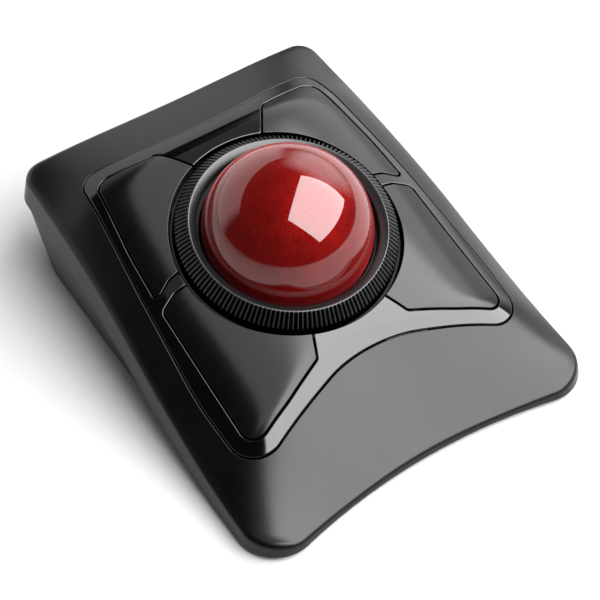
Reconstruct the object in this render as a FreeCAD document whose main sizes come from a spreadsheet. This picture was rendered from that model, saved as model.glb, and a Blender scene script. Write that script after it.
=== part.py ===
import FreeCAD, Part
import math
import os
from FreeCAD import Placement, Rotation, Vector

import Sketcher

# A stationary pointing device: a 55 mm ball in a scroll ring, four large buttons round it, a glossy
# trim panel between them, and a low wedge-shaped housing that runs on two AA cells and a radio link.
# Frame: +Z up, +X to the user's right, +Y towards the high rear end. The origin lies on the desk,
# under the middle of the housing. Lengths are millimetres and angles are degrees.

SIZES = [
    ("ball_radius", 27.5, "trackball"),
    ("centre_back", 4.6, "ring axis ahead of or behind the origin, along Y"),
    ("centre_height", 37.8, "middle of the ball above the desk"),
    ("tilt", 12.65, "slope of the control face, rising to the rear"),
    ("half_width_rear", 63.6, "walls at desk level, rear corner"),
    ("half_width_mid", 64.8, "walls at desk level, beside the ball"),
    ("half_width_front", 64.0, "walls at desk level, front corner"),
    ("wall_lean", 0.2, "how far the walls lean in for each millimetre of height"),
    ("rear_corner", 85.3, "walls at desk level, where the sides meet the rear edge along Y"),
    ("rear_middle", 81.4, "walls at desk level, where the two halves of the rear edge would meet"),
    ("rear_bow", 500.0, "radius of the slightly hollowed rear edge"),
    ("front_corner", 80.7, "walls at desk level, where the sides meet the front edge along -Y"),
    ("front_middle", 66.0, "walls at desk level, where the two halves of the front edge would meet"),
    ("front_bow", 205.0, "radius of the hollowed front edge"),
    ("corner_round", 13.5, "walls at desk level, corner radius"),
    ("wall", 2.4, "housing wall"),
    ("edge_round", 2.6, "outer top edge of the housing"),
    ("shoulder_power", 3.7, "how suddenly the face falls to the sides"),
    ("foot_height", 1.2, "rubber foot below the base"),
    ("floor_wall", 1.8, "base floor"),
    ("part_gap", 0.2, "parting line between the top and base shells"),
    ("base_inset", 0.9, "base wall behind the shell's wall"),
    ("face_plate", 2.0, "trim panel and button plates"),
    ("seam_gap", 0.35, "gap round the trim panel"),
    ("button_gap", 0.55, "gap round each button"),
    ("ledge_width", 2.2, "ledge that carries the trim panel"),
    ("hole_radius", 37.5, "hole in the face that the ring turns in"),
    ("ring_lip", 29.0, "scroll ring, smallest radius"),
    ("ring_crest", 31.9, "scroll ring, radius of the highest line"),
    ("ring_rim", 36.4, "scroll ring, outer end of the knurled face"),
    ("ring_skirt", 36.1, "scroll ring, outer wall"),
    ("ring_lip_height", 2.7, "scroll ring, lip above the face plane"),
    ("ring_crest_height", 4.3, "scroll ring, crest above the face plane"),
    ("ring_rim_height", 0.7, "scroll ring, rim above the face plane"),
    ("ring_bottom", 7.6, "scroll ring, bottom below the face plane"),
    ("cup_gap", 0.6, "ball to cup"),
    ("cup_wall", 1.4, "ball cup wall"),
    ("cup_rim", 1.0, "cup rim below the face plane"),
    ("neck_radius", 29.8, "cup neck that the ring runs on"),
    ("glide_flange_radius", 35.5, "cup flange under the ring"),
    ("flange_top", 8.2, "cup flange below the face plane"),
    ("flange_wall", 1.5, "cup flange thickness"),
    ("glide_wall", 0.5, "low-friction washer"),
    ("running_gap", 0.05, "running clearance"),
    ("retainer_radius", 32.4, "ring retainer, outer radius"),
    ("retainer_wall", 0.6, "ring retainer"),
    ("encoder_bottom", 11.8, "slotted encoder ring, lower edge below the face plane"),
    ("encoder_outer", 36.9, "slotted encoder ring, outer radius"),
    ("encoder_slots", 60, "slots in the encoder ring"),
    ("bearing_radius", 1.5, "support bearing"),
    ("bearing_angle", 45, "support bearing, from straight down"),
    ("sensor_angle", 30, "sensor axis, from the ring axis towards the rear"),
    ("frame_top", 9.8, "inner frame below the face plane"),
    ("frame_wall", 1.5, "inner frame plate"),
    ("frame_half_width", 45.0, "inner frame"),
    ("frame_half_length", 45.0, "inner frame"),
    ("frame_hole", 38.3, "hole in the inner frame"),
    ("hinge_out", 40.2, "button hinge pins along X"),
    ("hinge_depth", 7.9, "button hinge pins below the face plane"),
    ("pin_radius", 0.8, "hinge pin"),
    ("switch_out", 25.0, "switches along X"),
    ("switch_along", 34.0, "switches along the face"),
    ("switch_length", 12.8, "microswitch body"),
    ("switch_width", 5.8, "microswitch body"),
    ("switch_height", 6.5, "microswitch body"),
    ("switch_board_top", 13.0, "switch boards below the face plane"),
    ("board_wall", 1.2, "circuit boards"),
    ("plunger_radius", 0.9, "microswitch plunger"),
    ("cell_radius", 7.2, "AA cell"),
    ("cell_length", 50.5, "AA cell with its terminal"),
    ("front_cell", 45.4, "front cell along Y"),
    ("rear_cell", 60.8, "rear cell along Y"),
    ("bay_half_width", 29.0, "battery bay"),
    ("bay_front", 37.6, "battery bay along Y"),
    ("bay_rear", 68.6, "battery bay along Y"),
    ("door_wall", 1.6, "battery door"),
    ("main_board_height", 5.0, "underside of the main board"),
    ("foot_radius", 6.5, "rubber foot"),
    ("screw_radius", 1.0, "small screw shank"),
    ("set_forward", 1.155, "move of the finished parts that puts the middle of their box over the origin"),
]

DOC = FreeCAD.newDocument("trackball")
SHEET = DOC.addObject("Spreadsheet::Sheet", "Sizes")
for row, (alias, number, note) in enumerate(SIZES, start=1):
    SHEET.set("A%d" % row, note)
    SHEET.set("B%d" % row, str(number))
    SHEET.setAlias("B%d" % row, alias)
DOC.recompute()


class Size:
    """A length read from the sheet: its number, and the expression that binds a property to it."""

    def __init__(self, number, text):
        self.number = number
        self.text = text

    def __float__(self):
        return float(self.number)

    def __add__(self, other):
        return Size(self.number + float(other), "(%s + %s)" % (self.text, text_of(other)))

    def __radd__(self, other):
        return self + other

    def __sub__(self, other):
        return Size(self.number - float(other), "(%s - %s)" % (self.text, text_of(other)))

    def __rsub__(self, other):
        return Size(float(other) - self.number, "(%s - %s)" % (text_of(other), self.text))

    def __mul__(self, other):
        return Size(self.number * float(other), "(%s * %s)" % (self.text, text_of(other)))

    def __rmul__(self, other):
        return self * other

    def __truediv__(self, other):
        return Size(self.number / float(other), "(%s / %s)" % (self.text, text_of(other)))

    def __neg__(self):
        return Size(-self.number, "(-%s)" % self.text)


def text_of(value):
    return value.text if isinstance(value, Size) else repr(float(value))


class Sheet:
    """The sheet's cells as attributes, each a Size."""


s = Sheet()
for alias, number, note in SIZES:
    setattr(s, alias, Size(float(SHEET.get(alias)), "Sizes." + alias))

NODES = []


def bind(target, name, value):
    """Set a property, and bind it to the sheet when the value comes from there."""
    setattr(target, name, float(value))
    if isinstance(value, Size):
        target.setExpression(name, value.text)


def node(target, label, place=None):
    """Name a finished sub-part, place it, and put it on the list of files to write."""
    target.Label = label
    if place is not None:
        target.Placement = place
    NODES.append(target)
    return target


def at(x, y, z):
    return Placement(Vector(float(x), float(y), float(z)), Rotation())


def turned(x, y, z, axis, angle):
    return Placement(Vector(float(x), float(y), float(z)), Rotation(Vector(*axis), float(angle)))


# The face frame: its origin is the middle of the ball, its Z is the ring's axis, and its Y runs up
# the slope of the control face. The ball is sunk to its middle, so the face plane is its Z = 0.
FACE = turned(0, s.centre_back, s.centre_height, (1, 0, 0), s.tilt)


# ---------------------------------------------------------------- Part primitives and booleans

def part(kind, name, place=None, **sizes):
    """A Part primitive whose sizes are bound to the sheet."""
    solid = DOC.addObject("Part::" + kind, name)
    for key, value in sizes.items():
        bind(solid, key, value)
    if place is not None:
        solid.Placement = place
    return solid


def disc(name, x, y, low, high, radius):
    """An upright cylinder between two heights."""
    return part("Cylinder", name, at(x, y, low), Radius=radius, Height=high - low)


def block(name, x, y, low, high, length, width):
    """A box centred on x and y, between two heights."""
    place = at(float(x) - float(length) / 2, float(y) - float(width) / 2, low)
    return part("Box", name, place, Length=length, Width=width, Height=high - low)


def joined(name, solids):
    result = DOC.addObject("Part::MultiFuse", name)
    result.Shapes = solids
    return result


def cut(name, base, tools):
    result = DOC.addObject("Part::Cut", name)
    result.Base = base
    result.Tool = tools[0] if len(tools) == 1 else joined(name + "_tools", tools)
    return result


def group(name, solids):
    """Separate solids that share a node."""
    result = DOC.addObject("Part::Compound", name)
    result.Links = solids
    return result


def pilot(name, x, y, low, high, radius):
    """A screw hole's cutter, a little longer than the wall that it goes through."""
    return disc(name, x, y, float(low) - 0.5, float(high) + 0.5, radius)


# ---------------------------------------------------------------- PartDesign bodies

def body(label, place=None):
    solid = DOC.addObject("PartDesign::Body", label)
    return node(solid, label, place)


def sketch(owner, name, plane="XY_Plane"):
    drawing = owner.newObject("Sketcher::SketchObject", name)
    support = next(item for item in owner.Origin.OriginFeatures if item.Role == plane)
    drawing.AttachmentSupport = [(support, "")]
    drawing.MapMode = "FlatFace"
    return drawing


def fix(drawing, kind, refs, value):
    """Add a dimension to a sketch, bound to the sheet."""
    index = drawing.addConstraint(Sketcher.Constraint(kind, *refs, float(value)))
    if isinstance(value, Size):
        drawing.setExpression("Constraints[%d]" % index, value.text)


def polygon(drawing, corners):
    """A closed outline of straight lines, each corner held by its own two dimensions."""
    first = drawing.GeometryCount
    points = [Vector(float(x), float(y), 0) for x, y in corners]
    count = len(points)
    for index in range(count):
        drawing.addGeometry(Part.LineSegment(points[index], points[(index + 1) % count]))
    for index in range(count):
        following = first + (index + 1) % count
        drawing.addConstraint(Sketcher.Constraint("Coincident", first + index, 2, following, 1))
    for index, (x, y) in enumerate(corners):
        fix(drawing, "DistanceX", (-1, 1, first + index, 1), x)
        fix(drawing, "DistanceY", (-1, 1, first + index, 1), y)


def rectangle(drawing, x, y, length, width):
    """An outline centred on x and y."""
    left = x - length / 2
    right = x + length / 2
    low = y - width / 2
    high = y + width / 2
    polygon(drawing, [(left, low), (right, low), (right, high), (left, high)])


def circle(drawing, x, y, radius):
    index = drawing.addGeometry(Part.Circle(Vector(float(x), float(y), 0), Vector(0, 0, 1), float(radius)))
    fix(drawing, "Radius", (index,), radius)
    fix(drawing, "DistanceX", (-1, 1, index, 3), x)
    fix(drawing, "DistanceY", (-1, 1, index, 3), y)


def pad(owner, drawing, length, down=False):
    feature = owner.newObject("PartDesign::Pad", drawing.Name + "_pad")
    feature.Profile = drawing
    bind(feature, "Length", length)
    feature.Reversed = down
    return feature


def pocket(owner, drawing, length, up=False):
    """A cut into the solid: down from the sketch, or up from it."""
    feature = owner.newObject("PartDesign::Pocket", drawing.Name + "_pocket")
    feature.Profile = drawing
    bind(feature, "Length", length)
    feature.Reversed = up
    return feature


def revolve(owner, drawing):
    """A full turn about the body's Z, for a profile drawn on its XZ plane."""
    feature = owner.newObject("PartDesign::Revolution", drawing.Name + "_turn")
    feature.Profile = drawing
    feature.ReferenceAxis = (drawing, ["V_Axis"])
    feature.Angle = 360
    return feature


def washer(label, place, inner, outer, height):
    """A flat ring."""
    solid = body(label, place)
    drawing = sketch(solid, label + "_outline")
    circle(drawing, 0, 0, outer)
    circle(drawing, 0, 0, inner)
    pad(solid, drawing, height)
    return solid


# ---------------------------------------------------------------- the free-form face

def half_width(y):
    """Half of the housing's width at y, along the top of its side wall."""
    end = float(s.half_width_rear) if y > 0 else float(s.half_width_front)
    reach = float(s.rear_corner) if y > 0 else float(s.front_corner)
    share = min(abs(y) / reach, 1.0)
    at_desk = float(s.half_width_mid) + (end - float(s.half_width_mid)) * share
    return at_desk - float(s.wall_lean) * edge_height(y)


def curve_value(stations, y):
    """A smooth height along Y through a few stations: cubic between them, flat at the ends."""
    ys = [station[0] for station in stations]
    zs = [station[1] for station in stations]
    slopes = [0.0] * len(ys)
    for k in range(1, len(ys) - 1):
        slopes[k] = (zs[k + 1] - zs[k - 1]) / (ys[k + 1] - ys[k - 1])
    y = min(max(y, ys[0]), ys[-1])
    k = max(index for index in range(len(ys) - 1) if ys[index] <= y)
    span = ys[k + 1] - ys[k]
    u = (y - ys[k]) / span
    start = zs[k] * (1 + 2 * u) * (1 - u) ** 2 + slopes[k] * span * u * (1 - u) ** 2
    end = zs[k + 1] * u * u * (3 - 2 * u) + slopes[k + 1] * span * u * u * (u - 1)
    return start + end


# Height of the housing's side edge along Y: low and flat in front, high and nearly flat behind.
EDGE_STATIONS = [
    (-84, 6.2), (-60, 6.9), (-42, 9.3), (-18, 15.6),
    (8, 23.8), (30, 29.0), (56, 32.8), (84, 35.6),
]


def edge_height(y):
    return curve_value(EDGE_STATIONS, y)


def soft_min(first, second, softness):
    """The lower of two heights, blended where they meet."""
    return (first + second - math.sqrt((first - second) ** 2 + softness ** 2)) / 2


def crown_height(x, y):
    """Height of the face along its ridge: the sloping control face, the rear fall and the front apron.

    The apron starts along the front edges of the buttons, which curve forward away from the ring,
    and runs down to the hollowed front edge.
    """
    slope = math.tan(math.radians(float(s.tilt)))
    face = float(s.centre_height) + slope * (y - float(s.centre_back))
    rear = 44.6 - 0.29 * (y - 54.5)
    shoulder = 1 - math.exp(-(x / 26.0) ** 2)
    break_line = -32.5 - 13.0 * shoulder
    break_height = float(s.centre_height) + slope * (break_line - float(s.centre_back))
    front_line = -float(s.front_middle) - 6.0 * min(abs(x) / 50.0, 1.3) ** 2
    front_height = 7.2
    apron_slope = (break_height - front_height) / (break_line - front_line)
    apron = front_height + apron_slope * (y - front_line)
    return soft_min(soft_min(face, rear, 2.0), apron, 1.5)


def face_height(x, y):
    """Height of the outer face above the desk."""
    share = abs(x) / half_width(y)
    edge = edge_height(y)
    return edge + (crown_height(x, y) - edge) * (1 - share ** float(s.shoulder_power))


def face_surface():
    """The outer face as one smooth surface, larger than the housing on every side."""
    across = [-70 + 5.0 * k for k in range(29)]
    along = [-84 + 4.0 * k for k in range(43)]
    grid = [[Vector(x, y, face_height(x, y)) for y in along] for x in across]
    surface = Part.BSplineSurface()
    surface.interpolate(grid)
    return surface.toShape()


FACE_SURFACE = face_surface()
DEEP = 90.0


def below_face(depth):
    """Everything under the face, lowered by a depth."""
    lowered = FACE_SURFACE.translated(Vector(0, 0, -float(depth)))
    return lowered.extrude(Vector(0, 0, -DEEP))


def rounded_wire(corners):
    """A closed plan outline of straight runs, with an arc of its own radius at every corner."""
    count = len(corners)
    runs = []
    for index in range(count):
        x, y, radius = corners[index]
        here = Vector(x, y, 0)
        before = Vector(corners[index - 1][0], corners[index - 1][1], 0) - here
        after = Vector(corners[(index + 1) % count][0], corners[(index + 1) % count][1], 0) - here
        before.normalize()
        after.normalize()
        half = before.getAngle(after) / 2
        if radius <= 0:
            runs.append((here, None, here))
            continue
        reach = radius / math.tan(half)
        middle = before + after
        middle.normalize()
        bottom = here + middle * (radius / math.sin(half) - radius)
        runs.append((here + before * reach, bottom, here + after * reach))
    edges = []
    for index, (start, bottom, end) in enumerate(runs):
        if bottom is not None:
            edges.append(Part.Arc(start, bottom, end).toShape())
        following = runs[(index + 1) % count][0]
        if end.distanceToPoint(following) > 1e-4:
            edges.append(Part.LineSegment(end, following).toShape())
    return Part.Wire(edges)


def mirrored(corners):
    """The same outline on the other side, in the same sense of rotation."""
    return [(-x, y, radius) for x, y, radius in reversed(corners)]


def both_sides(left, middle=()):
    """A whole outline from its left half, listed from rear to front, and its corners on the centre line.

    The first middle corner closes the front, and the second, if there is one, closes the rear.
    """
    return left + list(middle[:1]) + mirrored(left) + list(middle[1:])


def column(wire, low=-20.0, high=80.0):
    """A plan outline as an upright solid."""
    face = Part.Face(wire)
    face.translate(Vector(0, 0, low))
    return face.extrude(Vector(0, 0, high - low))


def offset_wire(wire, distance):
    return wire.makeOffset2D(distance)


def housing_corners(inset=0.0, rear_inset=0.0, mid_inset=0.0):
    """Plan outline of the walls at desk level, drawn in by an inset, and by more towards the rear."""
    rear = float(s.rear_corner) - inset - rear_inset
    radius = max(float(s.corner_round) - inset, 1.5)
    left = [
        (-float(s.half_width_rear) + inset + rear_inset * 0.5, rear, radius),
        (-float(s.half_width_mid) + inset + mid_inset, 0.0, 400.0),
        (-float(s.half_width_front) + inset, -float(s.front_corner) + inset, radius),
    ]
    front = (0.0, -float(s.front_middle) + inset, float(s.front_bow))
    back = (0.0, float(s.rear_middle) - inset - rear_inset, float(s.rear_bow))
    return both_sides(left, [front, back])


def leaning_walls(inset=0.0):
    """The space inside the housing's walls, which lean in as they rise."""
    height = 50.0
    bottom = rounded_wire(housing_corners(inset))
    top = rounded_wire(housing_corners(inset + float(s.wall_lean) * height))
    top.translate(Vector(0, 0, height))
    return Part.makeLoft([bottom, top], True, True)


PANEL_LEFT = [
    (-45.1, 58.8, 6.0),
    (-50.6, 12.0, 220.0),
    (-53.8, -26.0, 130.0),
    (-52.9, -55.7, 9.5),
]
PANEL_MIDDLE = [(0.0, -37.3, 50.0), (0.0, 53.2, 150.0)]

REAR_BUTTON_LEFT = [
    (-30.0, 11.0, 0.0),
    (-41.0, 9.9, 2.0),
    (-47.1, 7.0, 1.2),
    (-45.9, 24.0, 90.0),
    (-41.7, 52.4, 4.0),
    (-20.6, 49.6, 4.0),
    (-11.0, 35.0, 0.0),
]

FRONT_BUTTON_LEFT = [
    (-11.0, -23.0, 0.0),
    (-17.3, -36.6, 1.5),
    (-32.0, -43.0, 60.0),
    (-48.4, -48.4, 4.5),
    (-47.4, 2.6, 1.6),
    (-41.8, 4.7, 2.0),
    (-30.0, 4.9, 0.0),
]


def ring_hole(radius):
    """The round hole in the face, square to the face plane."""
    tool = Part.makeCylinder(float(radius), 80, Vector(0, 0, -30))
    tool.Placement = FACE
    return tool


# ---------------------------------------------------------------- housing

def parting_height(y):
    """Height of the parting line between the top and base shells."""
    lip = curve_value([(-84, 4.6), (-50, 5.2), (20, 8.4), (84, 9.3)], y)
    return edge_height(y) - lip


def above_parting(shift):
    """Everything above the parting line, moved up by a shift."""
    stations = [-90 + 6.0 * k for k in range(31)]
    points = [Vector(-80, y, parting_height(y) + shift) for y in stations]
    curve = Part.BSplineCurve()
    curve.interpolate(points)
    start = points[0]
    end = points[-1]
    top_end = Vector(-80, end.y, 100)
    top_start = Vector(-80, start.y, 100)
    edges = [curve.toShape()]
    edges.append(Part.LineSegment(end, top_end).toShape())
    edges.append(Part.LineSegment(top_end, top_start).toShape())
    edges.append(Part.LineSegment(top_start, start).toShape())
    return Part.Face(Part.Wire(edges)).extrude(Vector(160, 0, 0))


def free_form(label, shape):
    feature = DOC.addObject("Part::Feature", label)
    feature.Shape = shape
    feature.Placement = Placement()
    return node(feature, label)


# Case screws: x, y, and the height where the base's boss meets the shell's.
CASE_SCREWS = [(-52.0, -57.0, 7.0), (52.0, -57.0, 7.0), (-51.0, 65.0, 18.0), (51.0, 65.0, 18.0)]


def case_boss(x, y, low, high, outer, bore):
    tube = Part.makeCylinder(outer, high - low, Vector(x, y, low))
    return tube.cut(Part.makeCylinder(bore, high - low + 2, Vector(x, y, low - 1)))


def top_shell():
    outer = leaning_walls().common(below_face(0))
    rim = [edge for edge in outer.Edges if is_top_rim(edge)]
    try:
        outer = outer.makeFillet(float(s.edge_round), rim)
    except Part.OCCError:
        print("outer edge left sharp")
    inner = leaning_walls(float(s.wall)).common(below_face(s.wall))
    shell = outer.cut(inner).common(above_parting(0.0))
    seam = rounded_wire(both_sides(PANEL_LEFT, PANEL_MIDDLE))
    ledge_depth = float(s.face_plate) + 0.1
    ledge = column(offset_wire(seam, 1.2)).cut(column(offset_wire(seam, -float(s.ledge_width))))
    ledge = ledge.common(below_face(ledge_depth)).cut(below_face(ledge_depth + 1.6))
    shell = shell.cut(column(seam)).fuse(ledge)
    for x, y, split in CASE_SCREWS:
        boss = case_boss(x, y, split, 60.0, 3.2, float(s.screw_radius) + 0.1)
        boss = boss.common(below_face(float(s.wall) - 0.4))
        shell = shell.fuse(boss)
    return shell


def is_top_rim(edge):
    """True for the edges where the face meets the upright wall."""
    box = edge.BoundBox
    point = edge.valueAt((edge.FirstParameter + edge.LastParameter) / 2)
    return box.ZMin > 0 and abs(point.z - face_height(point.x, point.y)) < 0.6


def trim_panel():
    seam = rounded_wire(both_sides(PANEL_LEFT, PANEL_MIDDLE))
    panel = column(offset_wire(seam, -float(s.seam_gap)))
    panel = panel.common(below_face(0)).cut(below_face(s.face_plate))
    for outline in (REAR_BUTTON_LEFT, FRONT_BUTTON_LEFT):
        for corners in (outline, mirrored(outline)):
            panel = panel.cut(column(offset_wire(rounded_wire(corners), float(s.button_gap))))
    return panel.cut(ring_hole(s.hole_radius))


def base_walls(inset):
    """The base's walls, which lean the other way: furthest in at the desk, and most at the rear."""
    joint = 24.0
    lean = float(s.wall_lean) * joint
    bottom = rounded_wire(housing_corners(1.0 + inset, 11.5, 5.2))
    bottom.translate(Vector(0, 0, float(s.foot_height)))
    top = rounded_wire(housing_corners(float(s.base_inset) + lean + inset))
    top.translate(Vector(0, 0, joint + 3.0))
    return Part.makeLoft([bottom, top], True, True)


def slab(x, y, low, high, length, width):
    """A plain box for cutting or joining, centred on x and y."""
    corner = Vector(x - length / 2, y - width / 2, low)
    return Part.makeBox(length, width, high - low, corner)


def in_face(shape, x=0.0, y=0.0, z=0.0):
    """A shape made at the origin, moved to a point of the face frame and tilted with it."""
    moved = shape.copy()
    moved.Placement = FACE.multiply(at(x, y, z)).multiply(moved.Placement)
    return moved


FRAME_POSTS = [(sx * 37.0, sy * 20.0) for sx in (-1, 1) for sy in (-1, 1)]
BOARD_SCREWS = [(-29.0, -54.0), (29.0, -54.0), (-29.0, -34.0), (29.0, -34.0)]
POWER_SCREWS = [(-48.0, 33.0), (-36.0, 33.0)]
REST_SLOTS = [-30.0, 30.0]
POWER_SWITCH = (-42.0, 52.0)
PAIRING_SWITCH = (-42.0, 41.0)
RECEIVER = (39.0, 10.5)


def base_shell():
    floor = float(s.foot_height)
    deck = floor + float(s.floor_wall)
    below = above_parting(-float(s.part_gap))
    outer = base_walls(0.0)
    hollow = base_walls(2.0).cut(slab(0, 0, -5, deck, 200, 200))
    shell = outer.cut(hollow).cut(below)
    frame_under = float(s.frame_top) + float(s.frame_wall)
    over_frame = in_face(Part.makeBox(200, 200, 60, Vector(-100, -100, -frame_under)))
    bore = float(s.screw_radius)
    extras = []
    cuts = []
    for x, y in FRAME_POSTS:
        foot = FACE.multVec(Vector(x, y, -frame_under - 2))
        post = Part.makeCylinder(3.4, 45, Vector(foot.x, foot.y, floor)).cut(over_frame)
        extras.append(post)
        cuts.append(in_face(Part.makeCylinder(bore, 8, Vector(x, y, -frame_under - 7))))
    for x, y, split in CASE_SCREWS:
        extras.append(Part.makeCylinder(3.9, split - floor, Vector(x, y, floor)))
        cuts.append(Part.makeCylinder(bore + 0.3, split + 2, Vector(x, y, floor - 1)))
        cuts.append(Part.makeCylinder(2.6, split - 3.4 - floor + 1, Vector(x, y, floor - 1)))
    for x, y in BOARD_SCREWS:
        extras.append(Part.makeCylinder(2.6, float(s.main_board_height) - floor, Vector(x, y, floor)))
        cuts.append(Part.makeCylinder(bore, 4, Vector(x, y, 3.2)))
    for x, y in POWER_SCREWS:
        extras.append(Part.makeCylinder(2.4, 6.9 - floor, Vector(x, y, floor)))
        cuts.append(Part.makeCylinder(bore, 5, Vector(x, y, 3.2)))
    middle = (float(s.bay_front) + float(s.bay_rear)) / 2
    depth = float(s.bay_rear) - float(s.bay_front)
    span = 2 * float(s.bay_half_width)
    extras.append(slab(0, middle, floor, 19.6, span + 2.4, depth + 2.4))
    cuts.append(slab(0, middle, deck, 18.4, span, depth))
    cuts.append(slab(0, middle, floor - 1, deck + 1, span - 2.4, depth - 1.6))
    rx, rz = RECEIVER
    extras.append(slab(rx, 60.0, rz - 4.6, rz + 4.6, 17.0, 28.0))
    cuts.append(slab(rx, 60.0 + 15.0, rz - 3.4, rz + 3.4, 14.6, 55.6))
    for x in REST_SLOTS:
        cuts.append(slab(x, -64.5, floor - 1, deck + 1, 14.0, 3.2))
    px, py = POWER_SWITCH
    cuts.append(slab(px, py, floor - 1, deck + 1, 9.4, 3.2))
    px, py = PAIRING_SWITCH
    cuts.append(Part.makeCylinder(1.9, 5, Vector(px, py, floor - 1)))
    for solid in extras:
        shell = shell.fuse(solid.common(outer))
    for solid in cuts:
        shell = shell.cut(solid)
    return shell.removeSplitter()


def switch_place(x_side, y_side, z):
    """Where a switch stands in the face frame, its long side across the line to the ring's axis."""
    x = x_side * float(s.switch_out)
    y = y_side * float(s.switch_along)
    angle = math.degrees(math.atan2(y, x)) - 90
    return FACE.multiply(Placement(Vector(x, y, z), Rotation(Vector(0, 0, 1), angle)))


PLUNGER_TOP = float(s.switch_board_top) - float(s.switch_height) - 0.6
LUGS = (11.0, 33.0)
LUG_WIDTH = 4.0


def button(corners, x_side, y_side):
    """A button: its curved plate, two hinge lugs under its outer edge, and the post over its switch."""
    wire = rounded_wire(corners if x_side < 0 else mirrored(corners))
    plate = column(wire).common(below_face(0)).cut(below_face(s.face_plate)).cut(ring_hole(s.hole_radius))
    hinge_x = x_side * float(s.hinge_out)
    hinge_z = -float(s.hinge_depth)
    under = below_face(1.0)
    for y in LUGS:
        start = y_side * y - LUG_WIDTH / 2
        eye = Part.makeCylinder(1.5, LUG_WIDTH, Vector(hinge_x, start, hinge_z), Vector(0, 1, 0))
        web = Part.makeBox(3.0, LUG_WIDTH, 8.0, Vector(hinge_x - 1.5, start, hinge_z))
        plate = plate.fuse(in_face(eye.fuse(web)).common(under))
    bore = float(s.pin_radius) + float(s.running_gap)
    hole = Part.makeCylinder(bore, 100, Vector(hinge_x, -50, hinge_z), Vector(0, 1, 0))
    post = Part.makeCylinder(1.6, 8)
    post.Placement = switch_place(x_side, y_side, -PLUNGER_TOP + 0.1)
    plate = plate.cut(in_face(hole)).fuse(post.common(under))
    return plate.removeSplitter()


def housing():
    free_form("top_shell", top_shell())
    free_form("trim_panel", trim_panel())
    free_form("base_shell", base_shell())


CORNERS = [("rear", 1, REAR_BUTTON_LEFT), ("front", -1, FRONT_BUTTON_LEFT)]
SIDES = [("left", -1), ("right", 1)]


def buttons():
    """The four buttons with their hinge pins, switches and plungers."""
    pin_length = LUGS[1] - LUGS[0] + 2 * LUG_WIDTH + 2.0
    for end, y_side, outline in CORNERS:
        for side, x_side in SIDES:
            name = "%s_%s" % (end, side)
            free_form("button_" + name, button(outline, x_side, y_side))
            low = y_side * (LUGS[0] + LUGS[1]) / 2 - pin_length / 2
            pin = part("Cylinder", "pin_" + name, Radius=s.pin_radius, Height=pin_length)
            lying = Placement(Vector(x_side * float(s.hinge_out), low, -float(s.hinge_depth)),
                              Rotation(Vector(1, 0, 0), -90))
            node(pin, "hinge_pin_" + name, FACE.multiply(lying))
            shell = block("case_" + name, 0, 0, 0, s.switch_height, s.switch_length, s.switch_width)
            well = disc("well_" + name, 0, 0, s.switch_height - 2.9, s.switch_height + 1,
                        s.plunger_radius + s.running_gap)
            seat = switch_place(x_side, y_side, -float(s.switch_board_top))
            node(cut("microswitch_" + name, shell, [well]), "microswitch_" + name, seat)
            stem = part("Cylinder", "stem_" + name, Radius=s.plunger_radius, Height=2.6)
            top = switch_place(x_side, y_side, -PLUNGER_TOP - 2.6)
            node(stem, "plunger_" + name, top)


def scroll_ring():
    solid = body("scroll_ring", FACE)
    drawing = sketch(solid, "ring_profile", "XZ_Plane")
    inner = s.neck_radius + s.running_gap
    relief = s.retainer_radius + 0.4
    polygon(drawing, [
        (s.ring_lip, 0.5),
        (s.ring_lip, s.ring_lip_height),
        (s.ring_crest, s.ring_crest_height),
        (s.ring_rim, s.ring_rim_height),
        (s.ring_rim, -0.2),
        (s.ring_skirt, -0.5),
        (s.ring_skirt, -s.ring_bottom),
        (inner, -s.ring_bottom),
        (inner, 1.4 - s.ring_bottom),
        (relief, 1.4 - s.ring_bottom),
        (relief, -1.5),
        (relief - 1.2, 0.0),
    ])
    revolve(solid, drawing)


def encoder_ring():
    """A thin sleeve on the scroll ring's skirt, slotted below it."""
    solid = body("encoder_ring", FACE)
    drawing = sketch(solid, "sleeve_outline")
    drawing.AttachmentOffset = at(0, 0, -s.encoder_bottom)
    circle(drawing, 0, 0, s.encoder_outer)
    circle(drawing, 0, 0, s.ring_skirt)
    pad(solid, drawing, s.encoder_bottom - 4.0)
    slot = sketch(solid, "slot_outline", "XZ_Plane")
    rectangle(slot, 0.0, 1.2 - s.encoder_bottom, 1.9, 1.5)
    window = pocket(solid, slot, 80.0)
    window.Midplane = True
    DOC.recompute()
    pattern = solid.newObject("PartDesign::PolarPattern", "slot_pattern")
    pattern.Originals = [window]
    upright = next(item for item in solid.Origin.OriginFeatures if item.Role == "Z_Axis")
    pattern.Axis = (upright, [""])
    pattern.Angle = 360
    pattern.Occurrences = int(float(s.encoder_slots) / 2)
    solid.Tip = pattern


def ring_parts():
    """The scroll ring and what it turns on."""
    scroll_ring()
    encoder_ring()
    flange = FACE.multiply(at(0, 0, -s.flange_top))
    washer("ring_glide", flange, s.neck_radius + 1.4, s.glide_flange_radius - 0.2, s.glide_wall)
    clip = FACE.multiply(at(0, 0, -5.9))
    washer("ring_retainer", clip, s.neck_radius, s.retainer_radius, s.retainer_wall)


SENSOR = FACE.multiply(turned(0, 0, 0, (1, 0, 0), s.sensor_angle))
EAR_SCREWS = [(sx * 41.0, sy * 5.5) for sx in (-1, 1) for sy in (-1, 1)]
EAR_TOP = 12.6


def bearing_place(azimuth, reach):
    """A point on a support bearing's axis, with Z pointing at the ball's middle."""
    spin = Rotation(Vector(0, 0, 1), azimuth)
    lean = Rotation(Vector(0, 1, 0), 180 - float(s.bearing_angle))
    turn = spin.multiply(lean)
    return Placement(turn.multVec(Vector(0, 0, reach)), turn.multiply(Rotation(Vector(0, 1, 0), 180)))


BEARINGS = (90.0, 210.0, 330.0)


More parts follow.
